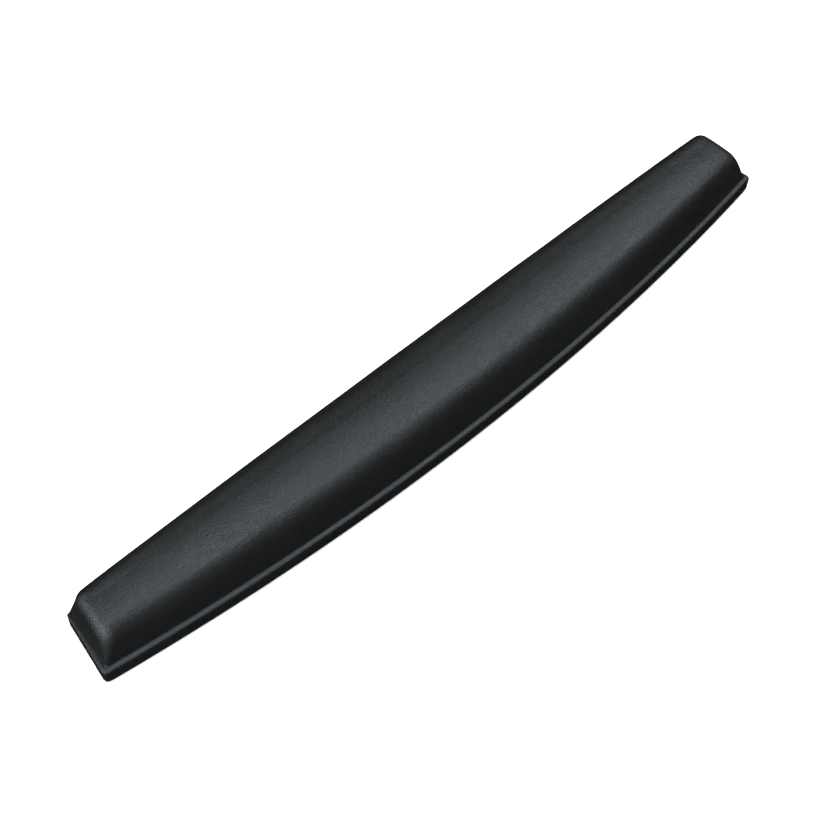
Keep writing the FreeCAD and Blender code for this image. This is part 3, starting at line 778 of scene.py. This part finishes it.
class WRISTREST_OT_cover(bpy.types.Operator):
    """Builds the leatherette cover: rim, crease and gel-filled cushion"""
    bl_idname = "wristrest.cover"
    bl_label = "Leatherette Cover"

    def execute(self, context):
        scene = context.scene
        plan, cushion, counts = scene.rest_footprint, scene.rest_cushion, scene.rest_mesh
        form = Form(scene)
        spokes = Spokes(form, counts.along, counts.across)
        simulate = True
        shrink = SLACK * cushion.swell if simulate else 0.0
        mesh = bmesh.new()
        marks = mesh.verts.layers.int.new("place")
        profile = rim_profile(plan, COVER_LOW.z)
        edges = ring_of(mesh, marks, spokes.flat_ring(*profile[0]))
        for inset, level in profile[1:]:
            edges = next_ring(mesh, marks, edges, spokes.flat_ring(inset, level))
        crowned(mesh, marks, edges, spokes, counts.levels,
                lambda climb: shrink * float(ease(climb / FULL_DRAW)), form.crease)
        piece = finished(mesh, "leatherette_cover", "cover_skin",
                         leatherette(scene.rest_finish))
        if simulate:
            self.move(piece, swollen(piece, form, cushion.swell))
        self.unevenness(piece, form, cushion.dimple)
        shell = piece.modifiers.new("Skin", "SOLIDIFY")
        shell.thickness, shell.offset = plan.skin, -1.0
        smooth = piece.modifiers.new("Smooth", "SUBSURF")
        smooth.levels = smooth.render_levels = counts.smoothing
        return {"FINISHED"}

    @staticmethod
    def move(piece, push):
        """Moves the cover's points, evened over their neighbours."""
        mesh = bmesh.new()
        mesh.from_mesh(piece.data)
        for vertex, step in zip(mesh.verts, evened(mesh, push, EVENING_PASSES)):
            vertex.co += Vector(step)
        mesh.to_mesh(piece.data)
        mesh.free()

    @staticmethod
    def unevenness(piece, form, amount):
        """Slow, slight swells and hollows over the filled part."""
        mesh = bmesh.new()
        mesh.from_mesh(piece.data)
        mesh.normal_update()
        for vertex in mesh.verts:
            share_up = float(ease((vertex.co.z - form.plan.rim_height) / UNEVEN_RISE))
            slow = noise.noise(vertex.co * UNEVEN_BROAD) + 0.5 * noise.noise(vertex.co * UNEVEN_CLOSE)
            vertex.co += vertex.normal * (amount * share_up * (slow - UNEVEN_SINK))
        mesh.to_mesh(piece.data)
        mesh.free()


class WRISTREST_OT_filling(bpy.types.Operator):
    """Builds the gel pad and the clear film over it"""
    bl_idname = "wristrest.filling"
    bl_label = "Gel Filling"

    def execute(self, context):
        scene = context.scene
        finish, counts = scene.rest_finish, scene.rest_mesh
        spokes = Spokes(Form(scene), counts.filling_along, counts.filling_across)
        under_skin = scene.rest_footprint.skin + FIT_GAP + SLACK * scene.rest_cushion.swell
        layers = (
            ("gel_filling", "gel_pad", "gel", soft_gel(finish), under_skin + FILM + FIT_GAP),
            ("gel_cover_film", "gel_film_top", "clear_film", clear_film(finish), under_skin),
        )
        for name, node, slot, material, inset in layers:
            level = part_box(node)[0].z
            mesh = bmesh.new()
            marks = mesh.verts.layers.int.new("place")
            edges = ring_of(mesh, marks, spokes.dome_ring(0.0, inset, level))
            if node == "gel_pad":
                bmesh.ops.contextual_create(mesh, geom=edges)
            crowned(mesh, marks, edges, spokes, counts.filling_levels, lambda climb: inset, level)
            bmesh.ops.remove_doubles(mesh, verts=mesh.verts, dist=SAME_PLACE)
            piece = finished(mesh, name, node, material)
            if node == "gel_film_top":
                sheet = piece.modifiers.new("Film", "SOLIDIFY")
                sheet.thickness, sheet.offset = FILM, -1.0
        return {"FINISHED"}


class WRISTREST_OT_sheet(bpy.types.Operator):
    """Builds the studded non-skid sheet under the tray"""
    bl_idname = "wristrest.sheet"
    bl_label = "Non-skid Sheet"

    def execute(self, context):
        scene = context.scene
        counts = scene.rest_mesh
        form = Form(scene)
        spokes = Spokes(form, counts.sheet_along, counts.sheet_across)
        inset = float(form.half_depth - SHEET_HIGH.y)
        top, pitch, stud = SHEET_HIGH.z, counts.stud_pitch, counts.stud_height
        mesh = bmesh.new()
        marks = mesh.verts.layers.int.new("place")
        profile = [(inset + SHEET_SOFT, top), (inset, top - SHEET_SOFT),
                   (inset, stud + SHEET_SOFT), (inset + SHEET_SOFT, stud)]
        edges = ring_of(mesh, marks, spokes.flat_ring(*profile[0]))
        bmesh.ops.contextual_create(mesh, geom=edges)
        for drawn_in, level in profile[1:]:
            edges = next_ring(mesh, marks, edges, spokes.flat_ring(drawn_in, level))
        bottom = bmesh.ops.contextual_create(mesh, geom=edges)["faces"]
        self.cut(mesh, bottom, pitch, (1.0, 0.0, 0.0), form.half)
        bottom = [face for face in mesh.faces if self.lies_flat(face, stud)]
        self.cut(mesh, bottom, pitch, (0.0, 1.0, 0.0), form.half_depth)
        cells = [face for face in mesh.faces if self.lies_flat(face, stud)
                 and len(face.verts) == 4 and face.calc_area() > WHOLE_CELL * pitch ** 2]
        bmesh.ops.recalc_face_normals(mesh, faces=mesh.faces)
        bmesh.ops.inset_individual(mesh, faces=cells, thickness=STUD_GAP * pitch, depth=0.0)
        bmesh.ops.inset_individual(mesh, faces=cells, thickness=STUD_TAPER * pitch, depth=stud)
        finished(mesh, "nonskid_sheet", "nonskid_base", rubber(scene.rest_finish))
        return {"FINISHED"}

    @staticmethod
    def lies_flat(face, level):
        """Whether the face belongs to the flat underside."""
        return all(abs(vertex.co.z - level) < SAME_PLACE for vertex in face.verts)

    @staticmethod
    def cut(mesh, faces, pitch, normal, farthest):
        """Cuts the faces across at every pitch, out to the farthest cut on each side."""
        way, number = Vector(normal), int(farthest / pitch)
        for step in range(-number, number + 1):
            geometry = dict.fromkeys(item for face in faces for item in (face, *face.edges, *face.verts))
            point = way * (step * pitch)
            made = bmesh.ops.bisect_plane(mesh, geom=list(geometry), dist=CUT_SLIP,
                                          plane_co=point, plane_no=normal)
            new = [item for item in made["geom"] if isinstance(item, bmesh.types.BMFace)]
            new += [face for item in made["geom_cut"] for face in item.link_faces]
            ahead = [face for face in dict.fromkeys(new)
                     if face.is_valid and face.calc_center_median().dot(way) > point.dot(way)]
            faces = [face for face in ahead
                     if WRISTREST_OT_sheet.lies_flat(face, face.verts[0].co.z)]


class WRISTREST_OT_inner(bpy.types.Operator):
    """Gives the tray, foam, lower film and glue layers their materials"""
    bl_idname = "wristrest.inner"
    bl_label = "Inner Layers"

    def execute(self, context):
        finish = context.scene.rest_finish
        film, glue = clear_film(finish), dried_glue(finish)
        materials = {
            "base_tray": moulded_tray(finish),
            "foam_bed": open_foam(finish),
            "gel_film_bottom": film,
            "foam_adhesive": glue,
            "hem_adhesive": glue,
            "base_adhesive": glue,
        }
        for name, material in materials.items():
            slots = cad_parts[name].material_slots
            if not slots:
                raise RuntimeError("%s has no material slot" % name)
            for slot in slots:
                slot.material = material
        return {"FINISHED"}


class WRISTREST_OT_stage(bpy.types.Operator):
    """Sets up the pale floor, the soft lights and the camera"""
    bl_idname = "wristrest.stage"
    bl_label = "Studio"

    def execute(self, context):
        scene, studio = context.scene, context.scene.rest_studio
        mesh = bmesh.new()
        bmesh.ops.create_grid(mesh, x_segments=2, y_segments=2, size=studio.floor_reach)
        data = bpy.data.meshes.new("studio_floor")
        mesh.to_mesh(data)
        mesh.free()
        floor = bpy.data.objects.new("studio_floor", data)
        scene.collection.objects.link(floor)
        data.materials.append(pale_floor(studio))
        floor.visible_glossy = False

        boxes = (
            ("overhead_soft_box", studio.key_place, studio.key_sides, studio.key_power),
            ("end_soft_box", studio.end_place, studio.end_sides, studio.end_power),
        )
        for name, place, size, power in boxes:
            self.soft_box(name, Vector(place), size, power, studio.light)

        world = scene.world = bpy.data.worlds.new("studio_surroundings")
        world.use_nodes = True
        background = world.node_tree.nodes["Background"]
        background.inputs["Color"].default_value = (1.0, 1.0, 1.0, 1.0)
        background.inputs["Strength"].default_value = studio.sky
        world.cycles_visibility.glossy = False
        scene.view_settings.view_transform = "Standard"

        back = Vector((math.sin(studio.azimuth) * math.cos(studio.elevation),
                       -math.cos(studio.azimuth) * math.cos(studio.elevation),
                       math.sin(studio.elevation)))
        right = Vector((math.cos(studio.azimuth), math.sin(studio.azimuth), 0.0))
        up = back.cross(right)
        turn, tip = math.cos(studio.roll), math.sin(studio.roll)
        axes = (right * turn - up * tip, right * tip + up * turn, back)
        place = back * studio.distance + right * studio.slide + up * studio.lift
        data = bpy.data.cameras.new("studio_camera")
        data.lens, data.sensor_width = studio.lens, SENSOR_WIDTH
        camera = bpy.data.objects.new("studio_camera", data)
        camera.matrix_world = Matrix.Translation(place) @ Matrix(axes).transposed().to_4x4()
        scene.collection.objects.link(camera)
        scene.camera = camera
        return {"FINISHED"}

    @staticmethod
    def soft_box(name, place, size, power, light_colour):
        """A rectangular soft light that faces the rest."""
        data = bpy.data.lights.new(name, "AREA")
        data.shape, data.size, data.size_y = "RECTANGLE", size[0], size[1]
        data.energy = power
        data.color = light_colour
        light = bpy.data.objects.new(name, data)
        light.location = place
        light.rotation_euler = (-place).to_track_quat("-Z", "X").to_euler()
        bpy.context.scene.collection.objects.link(light)


OPERATORS = (WRISTREST_OT_cover, WRISTREST_OT_filling, WRISTREST_OT_sheet, WRISTREST_OT_inner,
             WRISTREST_OT_stage)


class WRISTREST_PT_panel(bpy.types.Panel):
    """Lists the wrist rest's pieces and sizes"""
    bl_idname = "WRISTREST_PT_panel"
    bl_label = "Wrist Rest"
    bl_space_type = "VIEW_3D"
    bl_region_type = "UI"
    bl_category = "Wrist Rest"

    def draw(self, context):
        for operator in OPERATORS:
            self.layout.operator(operator.bl_idname)
        for group, kind in GROUPS:
            box = self.layout.box()
            box.label(text=kind.__doc__)
            for name in kind.__annotations__:
                box.prop(getattr(context.scene, group), name)


def register():
    """Registers the classes and hangs the settings on the scene."""
    for kind in [kind for _, kind in GROUPS] + [*OPERATORS, WRISTREST_PT_panel]:
        bpy.utils.register_class(kind)
    for group, kind in GROUPS:
        setattr(bpy.types.Scene, group, PointerProperty(type=kind))


def unregister():
    """Takes the settings and classes away again."""
    for group, _ in GROUPS:
        delattr(bpy.types.Scene, group)
    for kind in [WRISTREST_PT_panel, *OPERATORS] + [kind for _, kind in GROUPS]:
        bpy.utils.unregister_class(kind)


def main():
    """Builds the whole rest."""
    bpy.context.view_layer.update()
    register()
    bpy.ops.wristrest.cover()
    bpy.ops.wristrest.filling()
    bpy.ops.wristrest.sheet()
    bpy.ops.wristrest.inner()
    bpy.ops.wristrest.stage()


if __name__ == "__main__":
    main()
